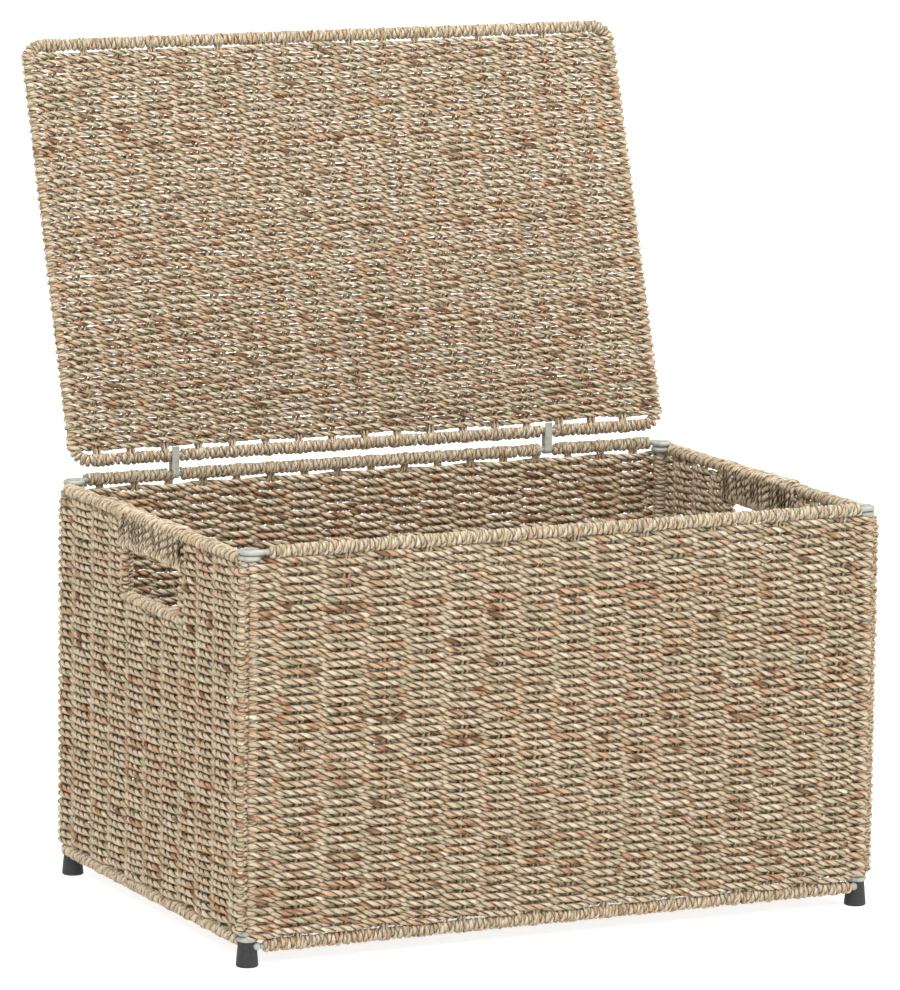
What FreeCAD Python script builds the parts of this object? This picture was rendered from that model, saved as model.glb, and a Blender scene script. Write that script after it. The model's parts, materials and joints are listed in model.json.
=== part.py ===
"""Seagrass storage trunk with a hinged lid, built as separate solids in millimetres.

Four woven wall panels, each on its own round wire frame, stand on edge and are pinned together by four
corner rods. A woven base hangs on the same rods, a moulded foot closes each rod's lower end, and the
woven lid turns on two strip straps round the back wall's top rail. The lid is drawn open.
Each wall is described about the trunk's middle, and every finished piece is then moved by the same
amount, so that the origin lies under the middle of the whole outline.
"""
import FreeCAD
import Part
import os

SIZES = [
    ("trunkCentre", 58.2, "how far the trunk's middle stands in front of the origin"),
    ("rodHalfWidth", 300.0, "corner rod axis, from the middle, across the width"),
    ("rodHalfDepth", 193.5, "corner rod axis, from the middle, across the depth"),
    ("rodRadius", 4.5, "corner rod"),
    ("rodFoot", 6.0, "height of the rod's lower end, inside the foot"),
    ("wireRadius", 2.5, "frame wire"),
    ("eyeRadius", 7.3, "centre line of the eye bent round a rod"),
    ("wrapRadius", 6.0, "seagrass cord wound round a rim wire"),
    ("weaveHalf", 7.0, "half the thickness of a woven panel"),
    ("longBottom", 18.6, "height of the front and back bottom rails"),
    ("sideBottom", 24.6, "height of the side bottom rails"),
    ("basePlane", 29.7, "height of the base frame"),
    ("longTop", 362.5, "height of the front and back top rails"),
    ("sideTop", 357.2, "height of the side top rails"),
    ("longWeaveHalf", 304.0, "half the width of the front and back weave"),
    ("longWeaveBottom", 27.5, "lower edge of the front and back weave"),
    ("frontWeaveTop", 354.6, "upper edge of the front weave"),
    ("backWeaveTop", 352.3, "upper edge of the back weave, below a row of bare stakes"),
    ("sideWeaveBottom", 31.0, "lower edge of the side weave"),
    ("sideWeaveTop", 350.2, "upper edge of the side weave"),
    ("sideLipHalf", 205.0, "half the depth of the side weave's outer edge"),
    ("bareWireLeft", 284.0, "end of the rim cord on a long rail's left side"),
    ("bareWireRight", 289.5, "end of the rim cord on a long rail's right side"),
    ("footWrapHalf", 288.0, "half the length of a long bottom rail's cord"),
    ("sideWrapHalf", 183.0, "half the length of a side rim's cord"),
    ("longEdgeWire", 299.5, "edge wire of a long panel, from the middle"),
    ("sideEdgeWire", 197.0, "edge wire of a side panel, from the middle"),
    ("knobRadius", 3.6, "rounded end of a long bottom rail"),
    ("knobInset", 6.0, "knob centre, inboard of the rod axis"),
    ("stakeRadius", 2.0, "one cord of a stake pair"),
    ("stakeHalfGap", 2.5, "half the spacing of the two cords of a pair"),
    ("frontFirstStake", -255.7, "first stake of the front panel"),
    ("frontStakePitch", 35.27, "mean stake spacing of the front panel"),
    ("frontStakeDrift", 17.0, "how far the front stakes wander from even spacing"),
    ("backFirstStake", -271.6, "first stake of the back panel"),
    ("backStakePitch", 34.05, "stake spacing of the back panel"),
    ("sideFirstStake", -156.0, "first stake of a side panel"),
    ("sideStakePitch", 38.2, "mean stake spacing of a side panel"),
    ("sideStakeDrift", -5.6, "how far the side stakes wander from even spacing"),
    ("baseStakePitch", 36.4, "stake spacing of the base"),
    ("slack", 0.3, "room left between neighbouring woven pieces"),
    ("footTopRadius", 8.0, "foot, upper end"),
    ("footBottomRadius", 10.0, "foot, lower end"),
    ("footEdge", 1.5, "rounding of the foot's lower edge"),
    ("handleCentre", 8.6, "middle of a handle, nearer the front on the left and the back on the right"),
    ("handleWidth", 112.0, "clear width of a handle opening"),
    ("handleFloor", 288.0, "lower edge of a handle opening"),
    ("handleRoof", 326.0, "upper edge of a handle opening"),
    ("gripWidth", 143.0, "length of the wound grip above an opening"),
    ("gripHalf", 8.0, "half the thickness of the grip"),
    ("gripRound", 5.5, "rounding of the grip's long edges"),
    ("gripTop", 363.8, "highest point of the grip"),
    ("sillWidth", 122.0, "length of the wound bar below an opening"),
    ("sillRadius", 5.5, "wound bar below an opening"),
    ("baseHalf", 6.0, "half the thickness of the base weave"),
    ("baseHalfWidth", 294.8, "half the width of the base weave"),
    ("baseHalfDepth", 183.4, "half the depth of the base weave, between its two rails"),
    ("baseEdgeWire", 284.0, "edge wire of the base, from the middle"),
    ("hingeHeight", 380.0, "height of the lid's rear rail, which is the hinge axis"),
    ("lidShift", 1.5, "how far the lid sits to the right of the middle"),
    ("lidOpen", 107.8, "angle the lid stands open"),
    ("lidHalfWidth", 298.0, "lid frame centre line, from its middle"),
    ("lidLength", 384.0, "lid frame centre line, rear rail to front rail"),
    ("lidCorner", 15.0, "bend radius of the lid frame's corners"),
    ("lidWeaveHalfWidth", 303.0, "half the width of the lid weave"),
    ("lidWeaveRear", 9.6, "rear edge of the lid weave, from the hinge axis"),
    ("lidWeaveFront", 375.0, "front edge of the lid weave, from the hinge axis"),
    ("lidWrapHalf", 283.0, "half the length of the lid's rim cords"),
    ("lidFirstStake", -275.1, "first stake of the lid, from its middle"),
    ("lidStakePitch", 33.55, "stake spacing of the lid"),
    ("strapLeft", -198.0, "middle of the left hinge strap"),
    ("strapRight", 182.5, "middle of the right hinge strap"),
    ("strapWidth", 7.0, "width of a hinge strap"),
    ("strapBore", 2.8, "radius inside a strap's bends"),
    ("strapThick", 1.2, "thickness of a strap"),
    ("strapTail", 8.4, "height of a strap's free end above the hinge axis"),
    ("strapRoom", 1.0, "room between a strap and the cord beside it"),
]
FRONT_STAKES = 16
BACK_STAKES = 17
LID_STAKES = 17
SIDE_STAKES = 9
BASE_STAKES = 16
EYE_SWEEP = 285.0
SAME = 1e-6

X_AXIS = FreeCAD.Vector(1, 0, 0)
Y_AXIS = FreeCAD.Vector(0, 1, 0)
Z_AXIS = FreeCAD.Vector(0, 0, 1)
ALONG = {
    "X": FreeCAD.Rotation(Y_AXIS, 90),
    "Y": FreeCAD.Rotation(X_AXIS, -90),
    "Z": FreeCAD.Rotation(),
}

doc = FreeCAD.newDocument("trunk")
sheet = doc.addObject("Spreadsheet::Sheet", "sizes")
for row, (alias, value, note) in enumerate(SIZES, start=1):
    sheet.set(f"A{row}", alias)
    sheet.set(f"B{row}", str(value))
    sheet.set(f"C{row}", note)
    sheet.setAlias(f"B{row}", alias)
doc.recompute()

NAMES = sorted((alias for alias, _, _ in SIZES), key=len, reverse=True)
nodes = []


def bound(text):
    """An expression with every size name pointed at the sheet."""
    words = []
    word = ""
    for letter in f"{text} ":
        if letter.isalpha():
            word += letter
            continue
        words.append(f"sizes.{word}" if word in NAMES else word)
        words.append(letter)
        word = ""
    return "".join(words).strip()


def bind(obj, field, text):
    """Tie one property to the sheet."""
    obj.setExpression(field, bound(text))


def place(obj, x="0", y="0", z="0", turn=None):
    """Put an object at a place written in size names."""
    if turn is not None:
        obj.Placement = FreeCAD.Placement(FreeCAD.Vector(), turn)
    bind(obj, "Placement.Base.x", x)
    bind(obj, "Placement.Base.y", y)
    bind(obj, "Placement.Base.z", z)
    return obj


def rod(name, radius, length, axis, x="0", y="0", z="0"):
    """A round bar that starts at a point and runs along one axis."""
    obj = doc.addObject("Part::Cylinder", name)
    bind(obj, "Radius", radius)
    bind(obj, "Height", length)
    return place(obj, x, y, z, ALONG[axis])


def block(name, low, high):
    """A box between two corners, each written as three size expressions."""
    obj = doc.addObject("Part::Box", name)
    for field, start, end in zip(("Length", "Width", "Height"), low, high):
        bind(obj, field, f"({end}) - ({start})")
    return place(obj, *low)


def ball(name, radius, x, y, z):
    """A sphere."""
    obj = doc.addObject("Part::Sphere", name)
    bind(obj, "Radius", radius)
    return place(obj, x, y, z)


def group(name, members):
    """Separate solids held as one object."""
    obj = doc.addObject("Part::Compound", name)
    obj.Links = members
    return obj


def fuse(name, members):
    """Several solids joined into one."""
    obj = doc.addObject("Part::MultiFuse", name)
    obj.Shapes = members
    return obj


def cut(name, base, tools):
    """A solid with each of the tools taken out in turn."""
    for index, tool in enumerate(tools, start=1):
        step = doc.addObject("Part::Cut", name if index == len(tools) else f"{name}_step_{index}")
        step.Base = base
        step.Tool = tool
        base = step
    return base


def tube(name, outer, inner, length, axis, x="0", y="0", z="0"):
    """A round sleeve."""
    skin = rod(f"{name}_outer", outer, length, axis, x, y, z)
    core = rod(f"{name}_inner", inner, length, axis, x, y, z)
    return cut(name, skin, [core])


def named_node(name, shape):
    """The object that carries a piece's name, so the shape it holds gives that name up."""
    shape.Label = f"{name}_shape"
    obj = group(f"{name}_node", [shape])
    obj.Label = name
    return obj


def node(name, shape):
    """Register a finished piece of the trunk and move it to its place about the origin."""
    obj = named_node(name, shape)
    bind(obj, "Placement.Base.y", "-trunkCentre")
    nodes.append(obj)
    return shape


def lid_node(name, shape):
    """Register a finished piece of the lid, drawn closed, and turn it open about the hinge axis."""
    obj = named_node(name, shape)
    obj.Placement = FreeCAD.Placement(FreeCAD.Vector(), FreeCAD.Rotation(X_AXIS, -1))
    bind(obj, "Placement.Base.x", "lidShift")
    bind(obj, "Placement.Base.y", "rodHalfDepth + eyeRadius - trunkCentre")
    bind(obj, "Placement.Base.z", "hingeHeight")
    bind(obj, "Placement.Rotation.Angle", "-lidOpen")
    nodes.append(obj)
    return shape


def line(name, start, end):
    """A straight piece of a wire's centre line."""
    obj = doc.addObject("Part::Line", name)
    for field, text in zip(("X1", "Y1", "Z1", "X2", "Y2", "Z2"), (*start, *end)):
        bind(obj, field, text)
    return obj


def arc(name, radius, centre, start, sweep):
    """A level bend of a wire's centre line, turned to begin at an angle."""
    obj = doc.addObject("Part::Circle", name)
    bind(obj, "Radius", radius)
    obj.Angle1 = 0
    obj.Angle2 = sweep
    return place(obj, *centre, turn=FreeCAD.Rotation(Z_AXIS, start))


def wire(name, parts, start):
    """A round wire swept along its centre line. start is a point on it and the angle it leaves by."""
    path = group(f"{name}_path", parts)
    section = doc.addObject("Part::Circle", f"{name}_section")
    bind(section, "Radius", "wireRadius")
    place(section, *start[0], turn=FreeCAD.Rotation(Z_AXIS, start[1]) * FreeCAD.Rotation(X_AXIS, 90))
    doc.recompute()
    obj = doc.addObject("Part::Sweep", name)
    obj.Sections = [section]
    obj.Spine = (path, [f"Edge{index}" for index in range(1, len(path.Shape.Edges) + 1)])
    obj.Solid = True
    return obj


def eyed_wire(name, axis, line_at, eyes_at, height, starts):
    """A straight wire whose two ends are bent round the rods on either side of it."""
    half = "rodHalfWidth" if axis == "X" else "rodHalfDepth"

    def point(along, across):
        return (along, across, height) if axis == "X" else (across, along, height)

    low_eye = arc(f"{name}_low_eye", "eyeRadius", point(f"-{half}", eyes_at), starts[0], EYE_SWEEP)
    straight = line(f"{name}_straight", point(f"-{half}", line_at), point(half, line_at))
    high_eye = arc(f"{name}_high_eye", "eyeRadius", point(half, eyes_at), starts[1], EYE_SWEEP)
    free_end = starts[2]
    centre = point(f"-{half}", eyes_at)
    tip = (
        f"{centre[0]} + eyeRadius * cos({free_end} deg)",
        f"{centre[1]} + eyeRadius * sin({free_end} deg)",
        centre[2],
    )
    return wire(name, [low_eye, straight, high_eye], (tip, free_end))


def stakes(name, count, pitch, first, lower, upper, across, axis, drift="0", turned=""):
    """Pairs of stake cords. first is the first pair's place along the panel, and drift bows the even spacing.

    turned counts the places from the panel's other end.
    """
    cords = []
    for index in range(count):
        share = index / (count - 1)
        wander = f"{drift} * sin({180 * share ** 0.7:.3f} deg)"
        for side in ("-", "+"):
            along = f"{turned}({first} + {index} * {pitch} + {wander}) {side} stakeHalfGap"
            where = {"long": (along, across, lower), "side": (across, along, lower), "lid": (along, lower, across)}
            length = f"({upper}) - ({lower})"
            label = f"{name}_{index}_{'a' if side == '-' else 'b'}"
            cords.append(rod(label, "stakeRadius", length, "Y" if axis == "lid" else "Z", *where[axis]))
    return group(name, cords)


def long_panel(side, sign, weave_top, count, drift):
    """The front or back wall, wide and standing on two knobbed rail ends. Returns its bottom rail."""
    plane = f"{sign}(rodHalfDepth + eyeRadius)"
    eyes = f"{sign}rodHalfDepth"
    starts = (-15.0, -90.0, -15.0) if sign == "-" else (90.0, 165.0, 15.0)
    node(f"{side}_top_rail", eyed_wire(f"{side}_top_rail", "X", plane, eyes, "longTop", starts))
    knob_at = "(rodHalfWidth - knobInset)"
    bar = rod(f"{side}_bottom_bar", "wireRadius", f"2 * {knob_at}", "X", f"-{knob_at}", plane, "longBottom")
    knobs = [
        ball(f"{side}_knob_left", "knobRadius", f"-{knob_at}", plane, "longBottom"),
        ball(f"{side}_knob_right", "knobRadius", knob_at, plane, "longBottom"),
    ]
    bottom_rail = node(f"{side}_bottom_rail", fuse(f"{side}_bottom_rail", [bar, *knobs]))
    edges = [
        rod(f"{side}_edge_{end}", "wireRadius", "sideTop - basePlane - 2 * (wireRadius + slack)", "Z",
            f"{mark}longEdgeWire", plane, "basePlane + wireRadius + slack")
        for end, mark in (("left", "-"), ("right", ""))
    ]
    edge_wires = node(f"{side}_edge_wires", group(f"{side}_edge_wires", edges))
    cords = node(f"{side}_stakes", stakes(f"{side}_stakes", count, f"{side}StakePitch", f"{side}FirstStake",
                                          "longBottom + wrapRadius", "longTop - wrapRadius", plane, "long", drift))
    slab = block(f"{side}_slab",
                 ("-longWeaveHalf", f"{plane} - weaveHalf", "longWeaveBottom"),
                 ("longWeaveHalf", f"{plane} + weaveHalf", weave_top))
    reliefs = [rod_relief(f"{side}_relief_{end}", mark, sign) for end, mark in (("left", "-"), ("right", ""))]
    node(f"{side}_weave", cut(f"{side}_weave", slab, [cords, edge_wires, group(f"{side}_reliefs", reliefs)]))
    node(f"{side}_bottom_wrap", tube(f"{side}_bottom_wrap", "wrapRadius", "wireRadius",
                                     "2 * footWrapHalf", "X", "-footWrapHalf", plane, "longBottom"))
    return bottom_rail


def rod_relief(name, mark, sign):
    """Room in a weave for a corner rod and for the base's eye round it."""
    where = (f"{mark}rodHalfWidth", f"{sign}rodHalfDepth")
    shaft = rod(f"{name}_shaft", "rodRadius + slack", "longTop", "Z", *where, "0")
    eye = rod(f"{name}_eye", "eyeRadius + wireRadius + slack", "2 * (wireRadius + slack)", "Z",
              *where, "basePlane - wireRadius - slack")
    return fuse(name, [shaft, eye])


def side_panel(side, sign):
    """The left or right wall, with a handle opening below a wound grip. The right wall is the left one turned round."""
    centre = f"{sign}handleCentre"
    turned = "-" if sign == "" else ""
    plane = f"{sign}(rodHalfWidth + eyeRadius)"
    eyes = f"{sign}rodHalfWidth"
    starts = (180.0, -105.0, 105.0) if sign == "-" else (75.0, 0.0, 75.0)
    for level in ("top", "bottom"):
        height = "sideTop" if level == "top" else "sideBottom"
        name = f"{side}_{level}_rail"
        node(name, eyed_wire(name, "Y", plane, eyes, height, starts))
    edges = [
        rod(f"{side}_edge_{end}", "wireRadius", "sideTop - basePlane - 2 * wireRadius - slack", "Z",
            plane, f"{mark}sideEdgeWire", "basePlane + wireRadius + slack")
        for end, mark in (("front", "-"), ("back", ""))
    ]
    edge_wires = node(f"{side}_edge_wires", group(f"{side}_edge_wires", edges))

    grip_low = f"{centre} - gripWidth / 2"
    grip_high = f"{centre} + gripWidth / 2"
    grip = block(f"{side}_grip_block",
                 (f"{plane} - gripHalf", grip_low, "handleRoof"),
                 (f"{plane} + gripHalf", grip_high, "gripTop"))
    rounded = doc.addObject("Part::Fillet", f"{side}_grip_round")
    doc.recompute()
    rounded.Base = grip
    rounded.Edges = [
        (index, sheet.get("gripRound"), sheet.get("gripRound"))
        for index, edge in enumerate(grip.Shape.Edges, start=1)
        if abs(edge.tangentAt(edge.FirstParameter).y) > 1 - SAME
    ]
    lower_at = "handleRoof + sillRadius"
    bars = [
        rod(f"{side}_roof_wire", "wireRadius", "gripWidth", "Y", plane, grip_low, lower_at),
        rod(f"{side}_floor_wire", "wireRadius", "sillWidth", "Y", plane,
            f"{centre} - sillWidth / 2", "handleFloor - sillRadius"),
    ]
    handle_wires = node(f"{side}_handle_wires", group(f"{side}_handle_wires", bars))
    rail_core = rod(f"{side}_grip_core", "wireRadius", "gripWidth", "Y", plane, grip_low, "sideTop")
    grip = node(f"{side}_grip", cut(f"{side}_grip", rounded, [rail_core, bars[0]]))
    sill = tube(f"{side}_sill", "sillRadius", "wireRadius", "sillWidth", "Y",
                plane, f"{centre} - sillWidth / 2", "handleFloor - sillRadius")
    node(f"{side}_sill", sill)

    cords = stakes(f"{side}_full_stakes", SIDE_STAKES, "sideStakePitch", "sideFirstStake",
                   "sideBottom + wrapRadius", "sideTop - wrapRadius", plane, "side", "sideStakeDrift", turned)
    window = block(f"{side}_window",
                   (f"{plane} - 2 * weaveHalf", f"{centre} - handleWidth / 2", "handleFloor"),
                   (f"{plane} + 2 * weaveHalf", f"{centre} + handleWidth / 2", "handleRoof"))
    grip_room = block(f"{side}_grip_room",
                      (f"{plane} - 2 * weaveHalf", grip_low, "handleRoof"),
                      (f"{plane} + 2 * weaveHalf", grip_high, "gripTop + slack"))
    sill_room = block(f"{side}_sill_room",
                      (f"{plane} - 2 * weaveHalf", f"{centre} - sillWidth / 2", "handleFloor - 2 * sillRadius"),
                      (f"{plane} + 2 * weaveHalf", f"{centre} + sillWidth / 2", "handleFloor"))
    handle_room = fuse(f"{side}_handle_room", [window, grip_room, sill_room])
    held_cords = node(f"{side}_stakes", cut(f"{side}_stakes", cords, [handle_room]))

    slab = block(f"{side}_slab",
                 (f"{plane} - weaveHalf", "-sideLipHalf", "sideWeaveBottom"),
                 (f"{plane} + weaveHalf", "sideLipHalf", "sideWeaveTop"))
    keep_out = []
    for end, mark in (("front", "-"), ("back", "")):
        near = f"{mark}(rodHalfDepth + eyeRadius)"
        keep_out.append(block(f"{side}_{end}_room",
                              ("-longWeaveHalf - slack", f"{near} - weaveHalf - slack", "0"),
                              ("longWeaveHalf + slack", f"{near} + weaveHalf + slack", "longTop")))
        keep_out.append(rod_relief(f"{side}_{end}_relief", sign, mark))
    corners = fuse(f"{side}_corner_room", keep_out)
    node(f"{side}_weave", cut(f"{side}_weave", slab, [handle_room, corners, held_cords, edge_wires]))

    wraps = [
        tube(f"{side}_top_wrap_front", "wrapRadius", "wireRadius", f"sideWrapHalf + ({grip_low})", "Y",
             plane, "-sideWrapHalf", "sideTop"),
        tube(f"{side}_top_wrap_back", "wrapRadius", "wireRadius", f"sideWrapHalf - ({grip_high})", "Y",
             plane, grip_high, "sideTop"),
    ]
    node(f"{side}_top_wrap", group(f"{side}_top_wrap", wraps))
    node(f"{side}_bottom_wrap", tube(f"{side}_bottom_wrap", "wrapRadius", "wireRadius", "2 * sideWrapHalf", "Y",
                                     plane, "-sideWrapHalf", "sideBottom"))


def strapped_wrap(name, left_end, right_end, shift, y, z):
    """Rim cord in three lengths, left open where the two hinge straps pass."""
    room = "(strapWidth / 2 + strapRoom)"
    stops = [
        (left_end, f"strapLeft - {shift} - {room}"),
        (f"strapLeft - {shift} + {room}", f"strapRight - {shift} - {room}"),
        (f"strapRight - {shift} + {room}", right_end),
    ]
    lengths = [
        tube(f"{name}_{index}", "wrapRadius", "wireRadius", f"({end}) - ({start})", "X", start, y, z)
        for index, (start, end) in enumerate(stops)
    ]
    return group(name, lengths)


def base_panel():
    """The woven floor, hung on the rods by the eyes of its two long wires."""
    rails = []
    for end, sign in (("front", "-"), ("back", "")):
        starts = (90.0, 165.0, 15.0) if sign == "-" else (-15.0, -90.0, -15.0)
        line_at = f"{sign}(rodHalfDepth - eyeRadius)"
        rails.append(eyed_wire(f"base_{end}_rail", "X", line_at, f"{sign}rodHalfDepth", "basePlane", starts))
    node("base_rails", group("base_rails", rails))
    span = "2 * (rodHalfDepth - eyeRadius - wireRadius)"
    start = "-(rodHalfDepth - eyeRadius - wireRadius)"
    edges = [
        rod(f"base_edge_{end}", "wireRadius", span, "Y", f"{mark}baseEdgeWire", start, "basePlane")
        for end, mark in (("left", "-"), ("right", ""))
    ]
    node("base_edge_wires", group("base_edge_wires", edges))
    cords = [
        rod(f"base_stake_{index}", "stakeRadius", span, "Y",
            f"({index} - {BASE_STAKES - 1} / 2) * baseStakePitch", start, "basePlane")
        for index in range(BASE_STAKES)
    ]
    node("base_stakes", group("base_stakes", cords))
    slab = block("base_slab",
                 ("-baseHalfWidth", "-baseHalfDepth", "basePlane - baseHalf"),
                 ("baseHalfWidth", "baseHalfDepth", "basePlane + baseHalf"))
    rooms = [
        rod(f"base_edge_room_{end}", "wireRadius", "2 * baseHalfDepth + 2", "Y",
            f"{mark}baseEdgeWire", "-baseHalfDepth - 1", "basePlane")
        for end, mark in (("left", "-"), ("right", ""))
    ]
    rooms += [
        rod(f"base_stake_room_{index}", "stakeRadius", "2 * baseHalfDepth + 2", "Y",
            f"({index} - {BASE_STAKES - 1} / 2) * baseStakePitch", "-baseHalfDepth - 1", "basePlane")
        for index in range(BASE_STAKES)
    ]
    node("base_weave", cut("base_weave", slab, rooms))


def corner(name, across, along, rail):
    """One corner rod with the foot that closes its lower end, notched for the end of the rail above it."""
    where = (f"{across}rodHalfWidth", f"{along}rodHalfDepth")
    shaft = rod(f"{name}_rod", "rodRadius", "longTop + wireRadius - rodFoot", "Z", *where, "rodFoot")
    node(f"{name}_rod", shaft)
    cone = doc.addObject("Part::Cone", f"{name}_foot_cone")
    bind(cone, "Radius1", "footBottomRadius")
    bind(cone, "Radius2", "footTopRadius")
    bind(cone, "Height", "sideBottom - wireRadius")
    place(cone, *where, "0")
    doc.recompute()
    rounded = doc.addObject("Part::Fillet", f"{name}_foot_round")
    rounded.Base = cone
    rounded.Edges = [
        (index, sheet.get("footEdge"), sheet.get("footEdge"))
        for index, edge in enumerate(cone.Shape.Edges, start=1)
        if abs(edge.BoundBox.ZMax) < SAME and edge.BoundBox.XLength > 1
    ]
    node(f"{name}_foot", cut(f"{name}_foot", rounded, [shaft, rail]))


def strap(side, at):
    """A strip bent round the back rail and the lid's rear rail, with its free end standing up."""
    y = "rodHalfDepth + eyeRadius"
    left = f"{at} - strapWidth / 2"
    loops = []
    for label, radius in (("outer", "strapBore + strapThick"), ("inner", "strapBore")):
        low = rod(f"{side}_strap_{label}_low", radius, "strapWidth", "X", left, y, "longTop")
        high = rod(f"{side}_strap_{label}_high", radius, "strapWidth", "X", left, y, "hingeHeight")
        web = block(f"{side}_strap_{label}_web",
                    (left, f"{y} - ({radius})", "longTop"),
                    (f"{at} + strapWidth / 2", f"{y} + ({radius})", "hingeHeight"))
        loops.append([low, high, web])
    tail = block(f"{side}_strap_tail",
                 (left, f"{y} - strapBore - strapThick", "hingeHeight - strapBore"),
                 (f"{at} + strapWidth / 2", f"{y} - strapBore", "hingeHeight + strapTail"))
    outer = fuse(f"{side}_strap_outer", [*loops[0], tail])
    inner = fuse(f"{side}_strap_inner", loops[1])
    node(f"{side}_hinge_strap", cut(f"{side}_hinge_strap", outer, [inner]))


def lid():
    """The lid, drawn closed with the hinge axis at its own origin and its front towards -Y."""
    half, length, bend = "lidHalfWidth", "lidLength", "lidCorner"
    path = [
        line("lid_rear_line", (f"-{half} + {bend}", "0", "0"), (f"{half} - {bend}", "0", "0")),
        arc("lid_rear_right_bend", bend, (f"{half} - {bend}", f"-{bend}", "0"), 0, 90),
        line("lid_right_line", (half, f"-{bend}", "0"), (half, f"{bend} - {length}", "0")),
        arc("lid_front_right_bend", bend, (f"{half} - {bend}", f"{bend} - {length}", "0"), -90, 90),
        line("lid_front_line", (f"{half} - {bend}", f"-{length}", "0"), (f"{bend} - {half}", f"-{length}", "0")),
        arc("lid_front_left_bend", bend, (f"{bend} - {half}", f"{bend} - {length}", "0"), 180, 90),
        line("lid_left_line", (f"-{half}", f"{bend} - {length}", "0"), (f"-{half}", f"-{bend}", "0")),
        arc("lid_rear_left_bend", bend, (f"{bend} - {half}", f"-{bend}", "0"), 90, 90),
    ]
    frame = lid_node("lid_frame", wire("lid_frame", path, ((f"-{half} + {bend}", "0", "0"), 90)))
    cords = lid_node("lid_stakes", stakes("lid_stakes", LID_STAKES, "lidStakePitch", "lidFirstStake",
                                          "wrapRadius - lidLength", "-wrapRadius", "0", "lid"))
    slab = block("lid_slab",
                 ("-lidWeaveHalfWidth", "-lidWeaveFront", "-weaveHalf"),
                 ("lidWeaveHalfWidth", "-lidWeaveRear", "weaveHalf"))
    lid_node("lid_weave", cut("lid_weave", slab, [cords, frame]))
    lid_node("lid_front_wrap", tube("lid_front_wrap", "wrapRadius", "wireRadius", "2 * lidWrapHalf", "X",
                                    "-lidWrapHalf", "-lidLength", "0"))
    lid_node("lid_rear_wrap", strapped_wrap("lid_rear_wrap", "-lidWrapHalf", "lidWrapHalf", "lidShift", "0", "0"))


front_plane = "-(rodHalfDepth + eyeRadius)"
back_plane = "rodHalfDepth + eyeRadius"
front_rail = long_panel("front", "-", "frontWeaveTop", FRONT_STAKES, "frontStakeDrift")
node("front_top_wrap", tube("front_top_wrap", "wrapRadius", "wireRadius", "bareWireLeft + bareWireRight", "X",
                            "-bareWireLeft", front_plane, "longTop"))
back_rail = long_panel("back", "", "backWeaveTop", BACK_STAKES, "0")
node("back_top_wrap", strapped_wrap("back_top_wrap", "-bareWireLeft", "bareWireRight", "0", back_plane, "longTop"))
side_panel("left", "-")
side_panel("right", "")
base_panel()
corner("front_left", "-", "-", front_rail)
corner("front_right", "", "-", front_rail)
corner("back_left", "-", "", back_rail)
corner("back_right", "", "", back_rail)
strap("left", "strapLeft")
strap("right", "strapRight")
lid()
doc.recompute()

for obj in doc.Objects:
    if "Invalid" in obj.State or "Error" in obj.State:
        raise RuntimeError(f"{obj.Name} did not recompute: {obj.State}")
for obj in nodes:
    if obj.Shape.isNull() or not obj.Shape.isValid() or not obj.Shape.Solids:
        raise RuntimeError(f"{obj.Label} has no valid solid")

os.makedirs("parts", exist_ok=True)
for obj in nodes:
    obj.Shape.exportStep(f"parts/{obj.Label}.step")
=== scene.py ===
"""Seagrass storage trunk: the walls, lid, rims and grips, laid cord by cord on the CAD frame.

Every cord is two twisted plies. A panel has a plane of its own, where a place is (along the rows, up the
stakes, out of the panel), and the positions of wires and stakes are read from the CAD nodes.
"""
import json
import math

import bpy
import numpy as np
from mathutils import Matrix, Vector


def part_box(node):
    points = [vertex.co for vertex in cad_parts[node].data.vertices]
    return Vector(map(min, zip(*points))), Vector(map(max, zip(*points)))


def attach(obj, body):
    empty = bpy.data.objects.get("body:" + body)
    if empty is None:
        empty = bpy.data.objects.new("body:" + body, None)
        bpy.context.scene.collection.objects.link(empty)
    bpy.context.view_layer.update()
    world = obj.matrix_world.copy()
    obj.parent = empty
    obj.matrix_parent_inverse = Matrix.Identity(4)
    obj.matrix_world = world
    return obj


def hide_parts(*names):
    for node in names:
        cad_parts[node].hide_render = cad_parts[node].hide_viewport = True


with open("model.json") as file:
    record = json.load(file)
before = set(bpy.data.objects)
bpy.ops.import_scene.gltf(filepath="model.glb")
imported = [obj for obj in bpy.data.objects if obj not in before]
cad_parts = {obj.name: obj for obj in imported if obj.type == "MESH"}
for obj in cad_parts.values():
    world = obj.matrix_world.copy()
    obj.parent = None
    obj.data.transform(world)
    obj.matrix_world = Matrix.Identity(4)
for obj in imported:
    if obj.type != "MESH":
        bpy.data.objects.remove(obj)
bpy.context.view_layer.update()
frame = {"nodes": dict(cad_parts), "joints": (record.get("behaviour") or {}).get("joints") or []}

MM = 0.001
SEED = 417
PIECE_FACES = 90_000
TRUNK = "trunk"
LID = "lid"
LID_OPEN = math.radians(107.8)
ALONG = 0
UP = 1
POST_GAP = 8 * MM
SLEEVE_GAP = 2 * MM

rng = np.random.default_rng(SEED)


# ---------------------------------------------------------------- places

def unit(vectors):
    """Vectors at length one."""
    return vectors / np.linalg.norm(vectors, axis=-1, keepdims=True)


def node_points(node):
    """The vertices of a CAD node, in metres."""
    mesh = frame["nodes"][node].data
    points = np.zeros(len(mesh.vertices) * 3, np.float32)
    mesh.vertices.foreach_get("co", points)
    return points.reshape(-1, 3).astype(float)


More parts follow.
